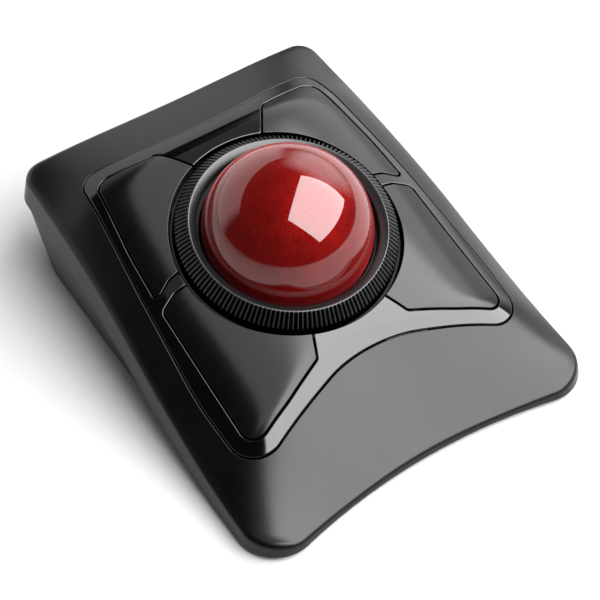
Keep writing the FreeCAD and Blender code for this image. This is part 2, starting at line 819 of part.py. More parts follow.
def ball_cup():
    """The cup under the ball: neck, flange, outriggers, three bearing seats and the sensor's window."""
    outer_radius = s.ball_radius + s.cup_gap + s.cup_wall
    bowl = part("Sphere", "bowl", Radius=outer_radius, Angle1=-90, Angle2=0)
    neck = disc("neck", 0, 0, -s.flange_top - s.flange_wall, -s.cup_rim, s.neck_radius)
    flange = disc("flange", 0, 0, -s.flange_top - s.flange_wall, -s.flange_top, s.glide_flange_radius)
    arms = block("arms", 0, 0, -EAR_TOP - 1.6, -EAR_TOP, 90.0, 18.0)
    seats = []
    wells = []
    for index, azimuth in enumerate(BEARINGS):
        seat_place = bearing_place(azimuth, float(s.ball_radius) + 4.2)
        seats.append(part("Cylinder", "seat%d" % index, seat_place, Radius=2.7, Height=4.0))
        well_place = bearing_place(azimuth, float(s.ball_radius) + 2 * float(s.bearing_radius) + 0.1)
        wells.append(part("Cylinder", "well%d" % index, well_place,
                          Radius=s.bearing_radius + s.running_gap, Height=4.0))
    pad_place = turned(0, 0, 0, (1, 0, 0), s.sensor_angle)
    mount = block("mount", 0, 0, -31.0, -25.0, 23.0, 12.0)
    legs = [disc("leg%d" % index, x, 0, -34.4, -30.0, 1.9) for index, x in enumerate((-9.0, 9.0))]
    carrier = joined("carrier", [mount] + legs)
    carrier.Placement = pad_place
    body_of_cup = joined("cup_body", [bowl, neck, flange, arms, carrier] + seats)
    ball_room = part("Sphere", "ball_room", Radius=s.ball_radius + s.cup_gap)
    above = disc("above_rim", 0, 0, -s.cup_rim, 40.0, 60.0)
    window = disc("window", 0, 0, -40.0, -20.0, 4.0)
    window.Placement = pad_place.multiply(window.Placement)
    holes = [pilot("ear_hole%d" % index, x, y, -EAR_TOP - 1.6, -EAR_TOP, s.screw_radius + 0.1)
             for index, (x, y) in enumerate(EAR_SCREWS)]
    bores = []
    for index, x in enumerate((-9.0, 9.0)):
        bore = disc("leg_bore%d" % index, x, 0, -35.0, -31.5, 0.8)
        bore.Placement = pad_place.multiply(bore.Placement)
        bores.append(bore)
    node(cut("ball_cup", body_of_cup, [ball_room, above, window] + wells + holes + bores), "ball_cup", FACE)


def ball_parts():
    ball = part("Sphere", "ball", Radius=s.ball_radius)
    node(ball, "trackball", FACE)
    ball_cup()
    reach = float(s.ball_radius) + float(s.bearing_radius) + float(s.running_gap)
    beads = [part("Sphere", "bead%d" % index, bearing_place(azimuth, reach), Radius=s.bearing_radius)
             for index, azimuth in enumerate(BEARINGS)]
    node(group("bearings", beads), "support_bearings", FACE)


def sensor_parts():
    lens = joined("lens", [disc("lens_barrel", 0, 0, -31.5, -28.9, 3.9),
                           block("lens_plate", 0, 0, -32.2, -31.0, 13.0, 11.0)])
    node(lens, "sensor_lens", SENSOR)
    node(block("chip", 0, 0, -34.4, -32.2, 9.0, 8.0), "tracking_sensor")
    NODES[-1].Placement = SENSOR.multiply(NODES[-1].Placement)
    board = body("sensor_board", SENSOR.multiply(at(0, 0, -35.6)))
    drawing = sketch(board, "sensor_board_outline")
    rectangle(drawing, 0.0, 0.0, 24.0, 17.0)
    for x in (-9.0, 9.0):
        circle(drawing, x, 0.0, 0.9)
    pad(board, drawing, s.board_wall)
    screws = [machine_screw("sensor_screw%d" % index, x, 0, -35.6, -1, 0.8, 3.6)
              for index, x in enumerate((-9.0, 9.0))]
    node(group("sensor_screws", screws), "sensor_screws", SENSOR)


def machine_screw(name, x, y, seat, direction, radius, length):
    """A pan-head screw: its head stands on the seat, on the side given, and its shank goes the other way."""
    head = 1.9 * float(radius)
    thick = 1.3 * float(radius)
    low_head = seat if direction > 0 else seat - thick
    low_shank = seat - length if direction > 0 else seat
    cap = disc(name + "_head", x, y, low_head, low_head + thick, head)
    slot_low = low_head + thick - 0.5 if direction > 0 else low_head
    socket = disc(name + "_socket", x, y, slot_low, slot_low + 0.5, 0.5 * float(radius))
    shank = disc(name + "_shank", x, y, low_shank, low_shank + length, radius)
    return cut(name, joined(name + "_body", [cap, shank]), [socket])


def inner_frame():
    """The tilted plate that carries the button hinges, the cup and the switch boards."""
    top = -s.frame_top
    under = top - s.frame_wall
    plate = block("plate", 0, 0, under, top, s.frame_half_width * 2, s.frame_half_length * 2)
    solids = [plate]
    tools = [disc("centre_hole", 0, 0, under - 5, top + 5, s.frame_hole)]
    for index, (x, y) in enumerate(EAR_SCREWS):
        solids.append(disc("ear_boss%d" % index, x, y, -EAR_TOP, top, 2.6))
        tools.append(pilot("ear_bore%d" % index, x, y, -EAR_TOP, -10.4, s.screw_radius))
    for index, (x, y) in enumerate(SWITCH_BOARD_SCREWS):
        solids.append(disc("board_boss%d" % index, x, y, -s.switch_board_top, top, 2.4))
        tools.append(pilot("board_bore%d" % index, x, y, -s.switch_board_top, -10.6, s.screw_radius))
    for index, (x, y) in enumerate(FRAME_POSTS):
        tools.append(pilot("post_hole%d" % index, x, y, under, top, s.screw_radius + 0.1))
    for end, y_side, _ in CORNERS:
        for side, x_side in SIDES:
            name = end + side
            window = block("gap_" + name, 0, 0, -6.0, 6.0, s.switch_length + 1.0, s.switch_width + 1.0)
            turn = FACE.inverse().multiply(switch_place(x_side, y_side, -float(s.frame_top)))
            window.Placement = turn.multiply(window.Placement)
            tools.append(window)
            for index, y in enumerate((LUGS[0] + LUG_WIDTH + 0.3, LUGS[1] - LUG_WIDTH - 0.3)):
                x = x_side * float(s.hinge_out)
                solids.append(block("lug%d_%s" % (index, name), x, y_side * y, top - 0.5,
                                    -s.hinge_depth + 1.2, 3.0, LUG_WIDTH))
            bore = part("Cylinder", "pin_bore_" + name, Radius=s.pin_radius, Height=40)
            bore.Placement = Placement(Vector(x_side * float(s.hinge_out), y_side * 22.0 - 20,
                                              -float(s.hinge_depth)), Rotation(Vector(1, 0, 0), -90))
            tools.append(bore)
    tools.append(block("gate_notch", 0, 38.5, -20.0, 0.0, 9.0, 6.0))
    for x_side in (-1, 1):
        for y_side in (-1, 1):
            corner = block("corner%d%d" % (x_side + 1, y_side + 1), 0, 0, -20.0, 0.0, 12.0, 12.0)
            turn = turned(x_side * float(s.frame_half_width), y_side * float(s.frame_half_length), 0,
                          (0, 0, 1), 45)
            corner.Placement = turn.multiply(corner.Placement)
            tools.append(corner)
    node(cut("inner_frame", joined("frame_body", solids), tools), "inner_frame", FACE)


SWITCH_BOARD_SCREWS = [(sx * 12.0, sy * 42.3) for sx in (-1, 1) for sy in (-1, 1)]


def switch_board(label, y_side):
    """A board under two switches: a long plate with a tab at each of its two screws."""
    board = body(label, FACE.multiply(at(0, 0, -s.switch_board_top - s.board_wall)))
    drawing = sketch(board, label + "_outline")
    rectangle(drawing, 0.0, y_side * 37.5, 68.0, 15.0)
    for x, y in SWITCH_BOARD_SCREWS:
        if y * y_side > 0:
            circle(drawing, x, y, s.screw_radius + 0.1)
    pad(board, drawing, s.board_wall)


def face_screws():
    heads = [machine_screw("frame_screw%d" % i, x, y, -float(s.frame_top), 1, 1.0, 7.0)
             for i, (x, y) in enumerate(FRAME_POSTS)]
    node(group("frame_screws", heads), "frame_screws", FACE)
    heads = [machine_screw("cup_screw%d" % i, x, y, -EAR_TOP - 1.6, -1, 1.0, 3.6)
             for i, (x, y) in enumerate(EAR_SCREWS)]
    node(group("cup_screws", heads), "cup_screws", FACE)
    seat = -float(s.switch_board_top) - float(s.board_wall)
    heads = [machine_screw("tab_screw%d" % i, x, y, seat, -1, 1.0, 3.4)
             for i, (x, y) in enumerate(SWITCH_BOARD_SCREWS)]
    node(group("switch_board_screws", heads), "switch_board_screws", FACE)


def light_gate():
    """A U-shaped light gate on the rear switch board; the encoder ring runs through it."""
    root = block("gate_root", 0, 36.4, -s.switch_board_top, -12.1, 6.0, 6.4)
    inner = block("gate_inner", 0, 34.3, -12.2, -10.1, 6.0, 2.2)
    outer = block("gate_outer", 0, 38.6, -12.2, -10.1, 6.0, 2.0)
    node(joined("gate", [root, inner, outer]), "encoder_light_gate", FACE)


def main_board_parts():
    low = s.main_board_height
    board = body("main_board", at(0, 0, low))
    drawing = sketch(board, "main_board_outline")
    rectangle(drawing, 0.0, -44.0, 66.0, 28.0)
    for x, y in BOARD_SCREWS:
        circle(drawing, x, y, s.screw_radius + 0.1)
    pad(board, drawing, s.board_wall)
    top = low + s.board_wall
    node(block("controller", -9, -45, top, top + 1.4, 9.0, 9.0), "controller_chip")
    can = block("radio_can", 17, -44, top + 0.6, top + 2.2, 11.0, 9.0)
    card = block("radio_card", 17, -46, top, top + 0.6, 12.5, 15.0)
    node(joined("radio", [can, card]), "radio_module")
    screws = [machine_screw("board_screw%d" % i, x, y, float(top), 1, 1.0, 2.8)
              for i, (x, y) in enumerate(BOARD_SCREWS)]
    screws += [machine_screw("power_screw%d" % i, x, y, 8.1, 1, 1.0, 4.0)
               for i, (x, y) in enumerate(POWER_SCREWS)]
    node(group("board_screws", screws), "board_screws")


def cell(label, y, flip):
    """An AA cell lying along X: a plain can with a stepped terminal."""
    turn = Rotation(Vector(0, 1, 0), -90 if flip else 90)
    start = 24.0 if flip else -24.0
    solid = body(label, Placement(Vector(start, float(y), 10.7), turn))
    drawing = sketch(solid, label + "_profile", "XZ_Plane")
    nub = 1.3
    polygon(drawing, [
        (0.0, 0.0),
        (s.cell_radius - 0.5, 0.0),
        (s.cell_radius, 0.5),
        (s.cell_radius, s.cell_length - nub - 0.8),
        (s.cell_radius - 0.8, s.cell_length - nub),
        (2.7, s.cell_length - nub),
        (2.7, s.cell_length),
        (0.0, s.cell_length),
    ])
    revolve(solid, drawing)


LEAF = [(0.0, -5.0), (0.0, -2.9), (4.0, 1.0), (3.0, 3.9), (3.35, 4.0), (4.4, 1.0), (0.4, -3.1), (0.4, -5.0)]


def contact_spring(plate_x, y, side):
    """A bent leaf on a contact plate that presses on a cell's flat end, towards the side given."""
    corners = [Vector(plate_x + side * reach, y - 2.5, 10.7 + height) for reach, height in LEAF]
    return Part.Face(Part.makePolygon(corners + corners[:1])).extrude(Vector(0, 5.0, 0))


def battery_parts():
    cell("battery_front", s.front_cell, False)
    cell("battery_rear", s.rear_cell, True)
    front = float(s.front_cell)
    rear = float(s.rear_cell)
    plates = []
    for side in (-1, 1):
        plates.append(slab(side * 28.7, (front + rear) / 2, 4.4, 17.0, 0.4, 26.0))
    tips = [Part.makeCylinder(2.4, 1.8, Vector(26.7, front, 10.7), Vector(1, 0, 0)),
            Part.makeCylinder(2.4, 1.8, Vector(-26.7, rear, 10.7), Vector(-1, 0, 0))]
    contacts = plates[1].fuse(tips[0])
    others = plates[0].fuse(tips[1])
    free_form("battery_contact_right", contacts)
    free_form("battery_contact_left", others)
    springs = [contact_spring(-28.45, front, 1), contact_spring(28.45, rear, -1)]
    free_form("battery_springs", Part.makeCompound(springs))
    door = body("battery_door", at(0, 0, s.foot_height))
    drawing = sketch(door, "door_outline")
    middle = (s.bay_front + s.bay_rear) / 2
    length = (s.bay_half_width * 2) - 3.0
    width = s.bay_rear - s.bay_front - 2.2
    rectangle(drawing, 0.0, middle, length, width)
    pad(door, drawing, s.door_wall)
    grip = sketch(door, "grip_outline")
    rectangle(grip, 0.0, s.bay_rear - 5.0, 16.0, 0.8)
    groove = pocket(door, grip, 0.5, up=True)
    DOC.recompute()
    rows = door.newObject("PartDesign::LinearPattern", "grip_rows")
    rows.Originals = [groove]
    rows.Direction = (grip, ["V_Axis"])
    rows.Reversed = True
    rows.Length = 6.4
    rows.Occurrences = 5
    door.Tip = rows


def power_parts():
    """The power switch, the pairing button, and the small board above them."""
    board = body("power_board", at(0, 0, 6.9))
    drawing = sketch(board, "power_board_outline")
    rectangle(drawing, -42.0, 44.0, 17.0, 26.0)
    for x, y in POWER_SCREWS:
        circle(drawing, x, y, s.screw_radius + 0.1)
    pad(board, drawing, s.board_wall)
    px, py = POWER_SWITCH
    node(block("power_case", px, py, 3.5, 6.9, 11.0, 5.0), "power_switch")
    knob = block("power_knob", px + 1.9, py, 1.5, 3.4, 4.6, 2.6)
    rib = block("power_rib", px + 1.9, py, 1.3, 1.5, 1.0, 2.2)
    node(joined("power_grip", [knob, rib]), "power_slider")
    qx, qy = PAIRING_SWITCH
    node(block("pairing_case", qx, qy, 4.1, 6.9, 6.0, 6.0), "pairing_switch")
    node(disc("pairing_cap", qx, qy, 1.5, 3.6, 1.6), "pairing_button")


def receiver():
    """The plug-in radio receiver, stored in its sleeve in the rear wall."""
    x, z = RECEIVER
    plug = block("plug", x, 57.0, z - 2.25, z + 2.25, 12.0, 14.0)
    cap = block("plug_cap", x, 67.4, z - 3.1, z + 3.1, 14.0, 7.0)
    hollow = block("plug_hollow", x, 55.0, z - 0.2, z + 1.9, 11.2, 12.0)
    node(cut("plug_receiver", joined("receiver_body", [plug, cap]), [hollow]), "radio_receiver")


FEET = [(-45.0, -66.5), (45.0, -66.5), (-53.0, 0.0), (53.0, 0.0), (-41.0, 64.6), (41.0, 64.6)]


def underside():
    pads = [disc("foot%d" % i, x, y, 0.0, s.foot_height, s.foot_radius if abs(x) < 50 else 4.5)
            for i, (x, y) in enumerate(FEET)]
    node(group("feet", pads), "rubber_feet")
    screws = [machine_screw("case_screw%d" % i, x, y, split - 3.4, -1, 1.0, 6.0)
              for i, (x, y, split) in enumerate(CASE_SCREWS)]
    node(group("case_screws", screws), "case_screws")


def ribbon(label, width, x, path, thick=0.3):
    """A flat cable: a path in the YZ plane, with rounded bends, thickened and given its width."""
    edges = []
    previous = Vector(x, *path[0][:2])
    for index in range(1, len(path) - 1):
        here = Vector(x, *path[index][:2])
        back = (previous - here).normalize()
        ahead = (Vector(x, *path[index + 1][:2]) - here).normalize()
        half = back.getAngle(ahead) / 2
        radius = path[index][2]
        reach = radius / math.tan(half)
        middle = (back + ahead).normalize()
        start = here + back * reach
        end = here + ahead * reach
        bottom = here + middle * (radius / math.sin(half) - radius)
        edges.append(Part.LineSegment(previous, start).toShape())
        edges.append(Part.Arc(start, bottom, end).toShape())
        previous = end
    edges.append(Part.LineSegment(previous, Vector(x, *path[-1][:2])).toShape())
    strip = Part.Wire(edges).extrude(Vector(width, 0, 0))
    strip.translate(Vector(-width / 2, 0, 0))
    free_form(label, strip.makeOffsetShape(thick, 0.01, fill=True))


def cables():
    ribbon("sensor_ribbon", 8.0, 0.0, [(21.0, 5.0), (8.0, 4.0, 3.0), (-26.0, 4.0, 3.0), (-29.0, 7.6, 1.5),
                                       (-34.0, 6.9)])


housing()
buttons()
ring_parts()
ball_parts()
sensor_parts()
inner_frame()
switch_board("switch_board_front", -1)
switch_board("switch_board_rear", 1)
face_screws()
light_gate()
main_board_parts()
battery_parts()
power_parts()
receiver()
underside()
cables()
DOC.recompute()

for item in NODES:
    item.Placement = at(0, -s.set_forward, 0).multiply(item.Placement)
DOC.recompute()

for item in DOC.Objects:
    if "Invalid" in item.State or "Error" in item.State:
        raise RuntimeError("%s failed: %s" % (item.Label, item.State))

os.makedirs("parts", exist_ok=True)
for item in NODES:
    if item.Shape.isNull() or not item.Shape.isValid():
        raise RuntimeError("%s has no valid shape" % item.Label)
    if not item.Shape.Solids:
        raise RuntimeError("%s has no solid" % item.Label)
    item.Shape.exportStep("parts/%s.step" % item.Label)
print("%d sub-parts written" % len(NODES))
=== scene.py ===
"""The looks of a large-ball trackball mouse: finer shells, ring and ball, materials and a studio."""

import math

import bmesh
import bpy
import numpy as np
from mathutils import Matrix, Vector
from mathutils.geometry import delaunay_2d_cdt


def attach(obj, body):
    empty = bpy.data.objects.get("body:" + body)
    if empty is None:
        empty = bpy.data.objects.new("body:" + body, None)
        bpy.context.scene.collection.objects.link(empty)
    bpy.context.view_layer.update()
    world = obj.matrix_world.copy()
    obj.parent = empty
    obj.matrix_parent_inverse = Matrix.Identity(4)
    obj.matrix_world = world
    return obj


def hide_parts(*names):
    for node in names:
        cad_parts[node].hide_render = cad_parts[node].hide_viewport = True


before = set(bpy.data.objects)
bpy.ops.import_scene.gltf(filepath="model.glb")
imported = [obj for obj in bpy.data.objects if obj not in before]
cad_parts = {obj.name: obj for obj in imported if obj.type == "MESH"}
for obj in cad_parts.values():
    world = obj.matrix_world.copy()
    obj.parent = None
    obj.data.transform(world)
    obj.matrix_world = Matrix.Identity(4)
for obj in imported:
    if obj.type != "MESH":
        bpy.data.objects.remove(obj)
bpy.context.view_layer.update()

MM = 0.001
# Every piece is moved this far towards the front, to centre the object over its origin.
SET_FORWARD = 1.155

# ---------------------------------------------------------------- design sizes, in millimetres

# The ball, and the tilted plane through its centre that the ring lies in.
BALL_RADIUS = 27.5
CENTRE_BACK = 4.6
CENTRE_HEIGHT = 37.8
TILT = math.radians(12.65)

# The housing's outline at desk height, and its leaning walls.
HALF_REAR = 63.6
HALF_MID = 64.8
HALF_FRONT = 64.0
WALL_LEAN = 0.2
REAR_CORNER = 85.3
REAR_MIDDLE = 81.4
REAR_BOW = 500.0
FRONT_CORNER = 80.7
FRONT_MIDDLE = 66.0
FRONT_BOW = 205.0
CORNER_ROUND = 13.5
EDGE_ROUND = 2.6

# The thickness of the face's plates, the gaps round them, and the ring's hole.
FACE_PLATE = 2.0
SEAM_GAP = 0.35
BUTTON_GAP = 0.55
HOLE_RADIUS = 37.5

# The face: how it falls to the sides, to the rear, and from the break line down the front apron.
SHOULDER_POWER = 3.7
SHOULDER_REACH = 1.15
REAR_SLOPE = 0.29
REAR_LINE = 54.5
REAR_HEIGHT = 44.6
BREAK_LINE = -32.5
BREAK_SET_BACK = 13.0
BREAK_SPREAD = 26.0
FRONT_HEIGHT = 7.2
FRONT_SWEEP = 6.0
FRONT_REACH = 50.0
FACE_BLEND = 2.0
APRON_BLEND = 1.5

# The top shell's plate, wall and lip, and how round its edges and the buttons' edges are.
SHELL_PLATE = 2.4
SHELL_WALL = 2.2
LIP_BREAK = 0.35
WALL_STEPS = 6
EDGE_STEPS = 7
EDGE_ROLL = 0.35
CAP_ROLL = 0.28

# Heights from front to rear, as (y, z): the face's outer edge, and the lip below that edge.
EDGE_STATIONS = [
    (-84, 6.2), (-60, 6.9), (-42, 9.3), (-18, 15.6), (8, 23.8), (30, 29.0), (56, 32.8), (84, 35.6),
]
LIP_STATIONS = [(-84, 4.6), (-50, 5.2), (20, 8.4), (84, 9.3)]

# Outlines seen from above, as (x, y, corner radius).
PANEL_LEFT = [(-45.1, 58.8, 6.0), (-50.6, 12.0, 220.0), (-53.8, -26.0, 130.0), (-52.9, -55.7, 9.5)]
PANEL_FRONT = (0.0, -37.3, 50.0)
PANEL_REAR = (0.0, 53.2, 150.0)
REAR_BUTTON_LEFT = [(-30.0, 11.0, 0.0), (-41.0, 9.9, 2.0), (-47.1, 7.0, 1.2), (-45.9, 24.0, 90.0),
                    (-41.7, 52.4, 4.0), (-20.6, 49.6, 4.0), (-11.0, 35.0, 0.0)]
FRONT_BUTTON_LEFT = [(-11.0, -23.0, 0.0), (-17.3, -36.6, 1.5), (-32.0, -43.0, 60.0), (-48.4, -48.4, 4.5),
                     (-47.4, 2.6, 1.6), (-41.8, 4.7, 2.0), (-30.0, 4.9, 0.0)]


# ---------------------------------------------------------------- shape of the housing

def curve_value(stations, y):
    """A smooth curve through (y, z) stations, level at both ends."""
    ys = [station[0] for station in stations]
    zs = [station[1] for station in stations]
    slopes = [0.0] * len(ys)
    for k in range(1, len(ys) - 1):
        slopes[k] = (zs[k + 1] - zs[k - 1]) / (ys[k + 1] - ys[k - 1])
    y = min(max(y, ys[0]), ys[-1])
    k = max(index for index in range(len(ys) - 1) if ys[index] <= y)
    span = ys[k + 1] - ys[k]
    u = (y - ys[k]) / span
    start = zs[k] * (1 + 2 * u) * (1 - u) ** 2 + slopes[k] * span * u * (1 - u) ** 2
    end = zs[k + 1] * u * u * (3 - 2 * u) + slopes[k + 1] * span * u * u * (u - 1)
    return start + end


def edge_height(y):
    """Where the housing's face meets its side wall."""
    return curve_value(EDGE_STATIONS, y)


def half_width(y):
    """Half the width of the face, inside the leaning side walls."""
    if y >= 0:
        at_desk = HALF_MID + (HALF_REAR - HALF_MID) * y / REAR_CORNER
    else:
        at_desk = HALF_MID + (HALF_FRONT - HALF_MID) * -y / FRONT_CORNER
    return at_desk - WALL_LEAN * edge_height(y)


def soft_min(first, second, softness):
    """The lower of two heights, with the crease between them rounded."""
    return (first + second - math.sqrt((first - second) ** 2 + softness ** 2)) / 2


def parting_height(y):
    """The lower lip of the top shell."""
    return edge_height(y) - curve_value(LIP_STATIONS, y)


def crown_height(x, y):
    """The face along the middle: the tilted face, the rear fall and the apron, blended."""
    slope = math.tan(TILT)
    face = CENTRE_HEIGHT + slope * (y - CENTRE_BACK)
    rear = REAR_HEIGHT - REAR_SLOPE * (y - REAR_LINE)
    shoulder = 1 - math.exp(-(x / BREAK_SPREAD) ** 2)
    break_line = BREAK_LINE - BREAK_SET_BACK * shoulder
    break_height = CENTRE_HEIGHT + slope * (break_line - CENTRE_BACK)
    front_line = -FRONT_MIDDLE - FRONT_SWEEP * min(abs(x) / FRONT_REACH, 1.3) ** 2
    apron_slope = (break_height - FRONT_HEIGHT) / (break_line - front_line)
    apron = FRONT_HEIGHT + apron_slope * (y - front_line)
    return soft_min(soft_min(face, rear, FACE_BLEND), apron, APRON_BLEND)


def face_height(x, y):
    """The face anywhere: the crown, falling to the edge at both sides."""
    share = min(abs(x) / half_width(y), SHOULDER_REACH)
    edge = edge_height(y)
    return edge + (crown_height(x, y) - edge) * (1 - share ** SHOULDER_POWER)


def face_normal(x, y):
    step = 0.25
    dx = (face_height(x + step, y) - face_height(x - step, y)) / (2 * step)
    dy = (face_height(x, y + step) - face_height(x, y - step)) / (2 * step)
    return Vector((-dx, -dy, 1.0)).normalized()


FACE = Matrix.Translation((0, CENTRE_BACK, CENTRE_HEIGHT)) @ Matrix.Rotation(TILT, 4, "X")
FACE_INVERSE = FACE.inverted()


# ---------------------------------------------------------------- outlines

def mirrored(corners):
    """The same outline corners on the other side, still in order."""
    return [(-x, y, radius) for x, y, radius in reversed(corners)]


def rounded(corners, spacing=1.0):
    """A closed outline of straight runs with rounded corners, as points about evenly apart."""
    count = len(corners)
    runs = []
    for index in range(count):
        x, y, radius = corners[index]
        here = Vector((x, y))
        before = (Vector(corners[index - 1][:2]) - here).normalized()
        after = (Vector(corners[(index + 1) % count][:2]) - here).normalized()
        if radius <= 0:
            runs.append([here])
            continue
        half = before.angle(after) / 2
        reach = radius / math.tan(half)
        centre = here + (before + after).normalized() * (radius / math.sin(half))
        start = here + before * reach - centre
        turn = start.angle_signed(here + after * reach - centre)
        steps = max(3, int(math.ceil(abs(turn) * radius / spacing)), int(abs(turn) / 0.12))
        arc = []
        for k in range(steps + 1):
            angle = -turn * k / steps
            arc.append(centre + Matrix.Rotation(angle, 2) @ start)
        runs.append(arc)
    points = []
    for index, arc in enumerate(runs):
        points.extend(arc)
        following = runs[(index + 1) % count][0]
        gap = (following - arc[-1]).length
        steps = int(gap / spacing)
        for k in range(1, steps):
            points.append(arc[-1].lerp(following, k / steps))
    cleaned = []
    for point in points:
        if not cleaned or (point - cleaned[-1]).length > 0.02:
            cleaned.append(point)
    if (cleaned[0] - cleaned[-1]).length < 0.02:
        cleaned.pop()
    return cleaned


def area(loop):
    """The signed area of a loop, which is more than zero if it runs anticlockwise."""
    return sum(a.x * b.y - b.x * a.y for a, b in zip(loop, loop[1:] + loop[:1])) / 2


def anticlockwise(loop):
    return loop if area(loop) > 0 else list(reversed(loop))


def inward(loop):
    """A unit vector at every point of an anticlockwise loop, pointing inside, scaled at corners."""
    count = len(loop)
    result = []
    for index in range(count):
        a = (loop[index] - loop[index - 1]).normalized()
        b = (loop[(index + 1) % count] - loop[index]).normalized()
        na = Vector((-a.y, a.x))
        nb = Vector((-b.y, b.x))
        middle = (na + nb).normalized()
        result.append(middle / max(middle.dot(na), 0.5))
    return result


def offset(loop, distance):
    """A loop moved in by a distance, or out by a negative one."""
    return [point + normal * distance for point, normal in zip(loop, inward(loop))]


def housing_corners():
    """The housing's outline where its walls meet the desk."""
    left = [
        (-HALF_REAR, REAR_CORNER, CORNER_ROUND),
        (-HALF_MID, 0.0, 400.0),
        (-HALF_FRONT, -FRONT_CORNER, CORNER_ROUND),
    ]
    return left + [(0.0, -FRONT_MIDDLE, FRONT_BOW)] + mirrored(left) + [(0.0, REAR_MIDDLE, REAR_BOW)]


def panel_outline():
    """The seam between the top shell and the trim panel."""
    return rounded(PANEL_LEFT + [PANEL_FRONT] + mirrored(PANEL_LEFT) + [PANEL_REAR])


def local(point):
    """Where a plan point of the face lies in the tilted face frame."""
    return FACE_INVERSE @ Vector((point.x, point.y, face_height(point.x, point.y)))


def ring_point(angle, radius):
    """The plan point where a circle round the ring's axis meets the face."""
    spot = FACE @ Vector((radius * math.cos(angle), radius * math.sin(angle), 0))
    for _ in range(4):
        depth = local(Vector((spot.x, spot.y))).z
        spot = FACE @ Vector((radius * math.cos(angle), radius * math.sin(angle), depth))
    return Vector((spot.x, spot.y))


def outside_ring(loop, radius, clear=0.4):
    """The run of a loop's points outside the ring hole, with its two ends exactly on the hole."""
    reach = [math.hypot(*local(point).xy) for point in loop]
    count = len(loop)
    start = next(k for k in range(count) if reach[k] > radius and reach[k - 1] <= radius)
    run = []
    k = start
    while reach[k % count] > radius:
        run.append(loop[k % count])
        k += 1
    ends = []
    for inner, outer in ((start - 1, start), (k % count, (k - 1) % count)):
        a, b = loop[inner], loop[outer]
        for _ in range(30):
            middle = a.lerp(b, 0.5)
            if math.hypot(*local(middle).xy) > radius:
                b = middle
            else:
                a = middle
        ends.append(b)
    between = [point for point in run if min((point - end).length for end in ends) > clear]
    return [ends[0]] + between + [ends[1]]


def ring_angle(point):
    """Which way a plan point lies from the ring's axis."""
    spot = local(point)
    return math.atan2(spot.y, spot.x)


def arc_between(start, end, radius, spacing=1.0):
    """Points of the ring hole from one angle to another, the short way round, without the ends."""
    turn = (end - start + math.pi) % (2 * math.pi) - math.pi
    steps = max(2, int(abs(turn) * radius / spacing))
    return [ring_point(start + turn * k / steps, radius) for k in range(1, steps)]


def button_outline(corners):
    """A button's plan outline, with the ring hole taken out of it."""
    run = outside_ring(anticlockwise(rounded(corners)), HOLE_RADIUS)
    return run + arc_between(ring_angle(run[-1]), ring_angle(run[0]), HOLE_RADIUS)


def panel_hole():
    """The star-shaped hole in the trim panel: the ring hole joined with four button holes."""
    runs = []
    for outline in (REAR_BUTTON_LEFT, FRONT_BUTTON_LEFT):
        for corners in (outline, mirrored(outline)):
            loop = offset(anticlockwise(rounded(corners)), -BUTTON_GAP)
            runs.append(outside_ring(loop, HOLE_RADIUS))
    runs.sort(key=lambda run: ring_angle(run[len(run) // 2]))
    points = []
    for index, run in enumerate(runs):
        points.extend(run)
        following = runs[(index + 1) % len(runs)]
        points.extend(arc_between(ring_angle(run[-1]), ring_angle(following[0]), HOLE_RADIUS))
    return points


# ---------------------------------------------------------------- mesh tools

def inside(points, loop):
    """Which of the points are inside a loop."""
    xs, ys = points[:, 0], points[:, 1]
    result = np.zeros(len(points), bool)
    for a, b in zip(loop, loop[1:] + loop[:1]):
        if a.y == b.y:
            continue
        crosses = (a.y > ys) != (b.y > ys)
        at = a.x + (ys - a.y) * (b.x - a.x) / (b.y - a.y)
        result ^= crosses & (xs < at)
    return result


def fill(outer, holes, grid):
    """Triangles between an outer loop and its holes: the plan points, the loops' points first."""
    loops = [outer] + holes
    flat = [point for loop in loops for point in loop]
    edges = []
    start = 0
    for loop in loops:
        count = len(loop)
        edges.extend((start + k, start + (k + 1) % count) for k in range(count))
        start += count
    border = np.array([(p.x, p.y) for p in flat])
    low = border.min(axis=0)
    high = border.max(axis=0)
    xs = np.arange(low[0], high[0], grid)
    ys = np.arange(low[1], high[1], grid * 0.866)
    mesh = np.array([(x + (grid / 2 if row % 2 else 0), y) for row, y in enumerate(ys) for x in xs])
    keep = inside(mesh, outer)
    for hole in holes:
        keep &= ~inside(mesh, hole)
    mesh = mesh[keep]
    near = np.array([np.min(np.hypot(border[:, 0] - p[0], border[:, 1] - p[1])) for p in mesh])
    mesh = mesh[near > grid * 0.6]
    points = [Vector(p) for p in border] + [Vector(p) for p in mesh]
    _, _, faces, originals, _, _ = delaunay_2d_cdt(points, edges, [], 0, 1e-6)
    corners = np.array([[originals[k][0] for k in face] for face in faces])
    centres = np.array([tuple(point) for point in points])[corners].mean(axis=1)
    good = inside(centres, outer)
    for hole in holes:
        good &= ~inside(centres, hole)
    return points, [[int(k) for k in corner] for corner in corners[good]]


def piece(name, verts, faces, material, body, normals=None, replaces=()):
    """A smooth mesh object, in metres, that rides on a body and may replace CAD nodes."""
    mesh = bpy.data.meshes.new(name)
    mesh.from_pydata([Vector((v[0], v[1] - SET_FORWARD, v[2])) * MM for v in verts], [], faces)
    mesh.validate()
    for polygon in mesh.polygons:
        polygon.use_smooth = True
    if normals is not None:
        mesh.normals_split_custom_set_from_vertices([Vector(n).normalized() for n in normals])
    obj = bpy.data.objects.new(name, mesh)
    bpy.context.scene.collection.objects.link(obj)
    mesh.materials.append(material)
    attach(obj, body)
    if replaces:
        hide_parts(*replaces)
    return obj


